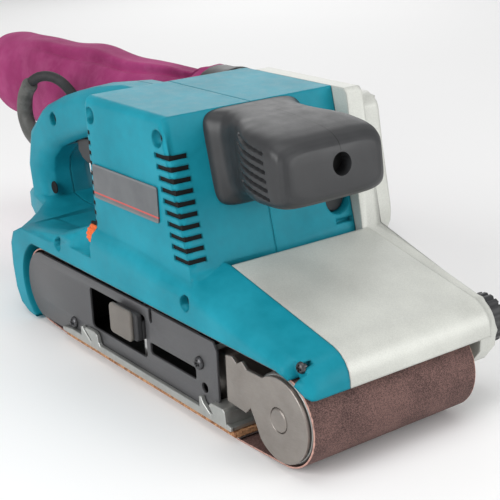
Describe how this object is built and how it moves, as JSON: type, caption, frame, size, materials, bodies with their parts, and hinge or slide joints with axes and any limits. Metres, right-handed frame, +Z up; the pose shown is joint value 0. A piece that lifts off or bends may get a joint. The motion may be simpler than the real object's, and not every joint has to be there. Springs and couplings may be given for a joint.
{
  "type": "belt sander",
  "caption": "Handheld belt sander with open-side sanding belt, belt release lever, tracking knob, rear loop handle, front grip and dust bag.",
  "frame": {"origin": "middle of the sanding face, on the work surface", "axes": "+X forward to the idler roller, +Y to the drive side, +Z up; the belt runs along X round axes parallel to Y"},
  "size_m": [0.5265, 0.288, 0.1518],
  "materials": {
    "teal_plastic": "fine moulded grain",
    "grip_plastic": "satin moulded",
    "silver_paint": "satin silver paint",
    "cast_aluminium": "cast",
    "dark_plate": "satin",
    "bracket_plate": "satin",
    "steel": "turned",
    "copper": "wound and turned copper",
    "black_rubber": "matt",
    "abrasive": "abrasive grit on cloth",
    "cork": "pressed cork",
    "graphite_cloth": "graphite-coated",
    "orange_plastic": "satin",
    "label_foil": "printed foil",
    "magenta_cloth": "woven",
    "lever_plastic": "satin"
  },
  "bodies": {
    "machine": {"frame_casting": "silver_paint", "inner_frame": "cast_aluminium", "drive_cover": "silver_paint", "housing_right": "teal_plastic", "housing_left": "teal_plastic", "front_grip_right": "grip_plastic", "front_grip_left": "grip_plastic", "side_plate": "dark_plate", "platen_shoe": "cast_aluminium", "cork_pad": "cork", "backing_plate": "steel", "graphite_pad": "graphite_cloth", "sanding_belt": "abrasive", "drive_bearing_right": "steel", "drive_bearing_left": "steel", "timing_belt": "black_rubber", "field_core": "steel", "motor_bearing_right": "steel", "motor_bearing_left": "steel", "carbon_brush_front": "graphite_cloth", "carbon_brush_rear": "graphite_cloth", "brush_cap_front": "grip_plastic", "brush_cap_rear": "grip_plastic", "tension_spring": "steel", "lever_pin": "steel", "switch_body": "grip_plastic", "name_plate": "label_foil", "cord_guard": "black_rubber", "power_cord": "black_rubber", "cord_coil": "black_rubber", "plug_body": "black_rubber", "plug_pin_1": "steel", "plug_pin_2": "steel", "dust_nozzle": "grip_plastic", "side_plate_screw_1": "steel", "side_plate_screw_2": "steel", "skirt_screw": "steel", "housing_screw_1": "steel", "housing_screw_2": "steel"},
    "drive": {"drive_roller": "black_rubber", "drive_shaft": "steel", "driven_pulley": "steel"},
    "motor": {"motor_shaft": "steel", "motor_pulley": "steel", "armature_core": "copper", "commutator": "copper", "cooling_fan": "grip_plastic"},
    "carriage": {"carriage_block": "cast_aluminium"},
    "yoke": {"carriage_yoke": "bracket_plate", "roller_bracket_right": "bracket_plate", "roller_bracket_left": "bracket_plate", "idler_axle": "steel"},
    "idler": {"idler_roller": "cast_aluminium"},
    "release": {"release_lever": "lever_plastic"},
    "tracking": {"tracking_knob": "grip_plastic"},
    "trigger": {"trigger": "grip_plastic"},
    "lock": {"lock_button": "grip_plastic"},
    "dial": {"speed_dial": "orange_plastic"},
    "bag": {"dust_bag": "magenta_cloth", "bag_collar": "grip_plastic"}
  },
  "joints": [
    {"name": "drive_spin", "type": "hinge", "parent": "machine", "child": "drive", "pos_m": [-0.11612, 0, 0.0251], "axis": [0, 1, 0], "continuous": true},
    {"name": "motor_spin", "type": "hinge", "parent": "machine", "child": "motor", "pos_m": [-0.01312, 0, 0.092], "axis": [0, 1, 0], "continuous": true},
    {"name": "carriage_slide", "type": "slide", "parent": "machine", "child": "carriage", "axis": [1, 0, 0], "range_m": [-0.008, 0], "deforming": ["tension_spring", "sanding_belt"]},
    {"name": "tracking_tilt", "type": "hinge", "parent": "carriage", "child": "yoke", "pos_m": [0.05012, 0, 0.0251], "axis": [0, 0, 1], "range_deg": [-1, 1]},
    {"name": "idler_spin", "type": "hinge", "parent": "yoke", "child": "idler", "pos_m": [0.11612, 0, 0.0251], "axis": [0, 1, 0], "continuous": true},
    {"name": "release_swing", "type": "hinge", "parent": "machine", "child": "release", "pos_m": [-0.00812, -0.046, 0.0251], "axis": [0, 0, 1], "range_deg": [0, 60]},
    {"name": "tracking_turn", "type": "hinge", "parent": "machine", "child": "tracking", "pos_m": [0.11412, 0.072, 0.0386], "axis": [0, 1, 0], "range_deg": [-180, 180]},
    {"name": "trigger_press", "type": "hinge", "parent": "machine", "child": "trigger", "pos_m": [-0.11412, 0.005, 0.106], "axis": [0, 1, 0], "range_deg": [0, 6], "stiffness_Nm_per_rad": 0.6, "springref_deg": -2.86},
    {"name": "lock_press", "type": "slide", "parent": "machine", "child": "lock", "axis": [0, 1, 0], "range_m": [-0.002, 0], "stiffness_N_per_m": 300, "springref_m": 0.001},
    {"name": "dial_turn", "type": "hinge", "parent": "machine", "child": "dial", "pos_m": [-0.05712, -0.0435, 0.071], "axis": [1, 0, 0], "range_deg": [-135, 135]},
    {"name": "bag_pull", "type": "slide", "parent": "machine", "child": "bag", "axis": [-1, 0, 0], "range_m": [0, 0.03]}
  ],
  "couplings": [
    {"joint": "motor_spin", "follows": "drive_spin", "ratio": 3},
    {"joint": "idler_spin", "follows": "drive_spin", "ratio": 1},
    {"joint": "carriage_slide", "follows": "release_swing", "m_per_rad": -0.0076},
    {"joint": "tracking_tilt", "follows": "tracking_turn", "ratio": 0.0055556}
  ]
}
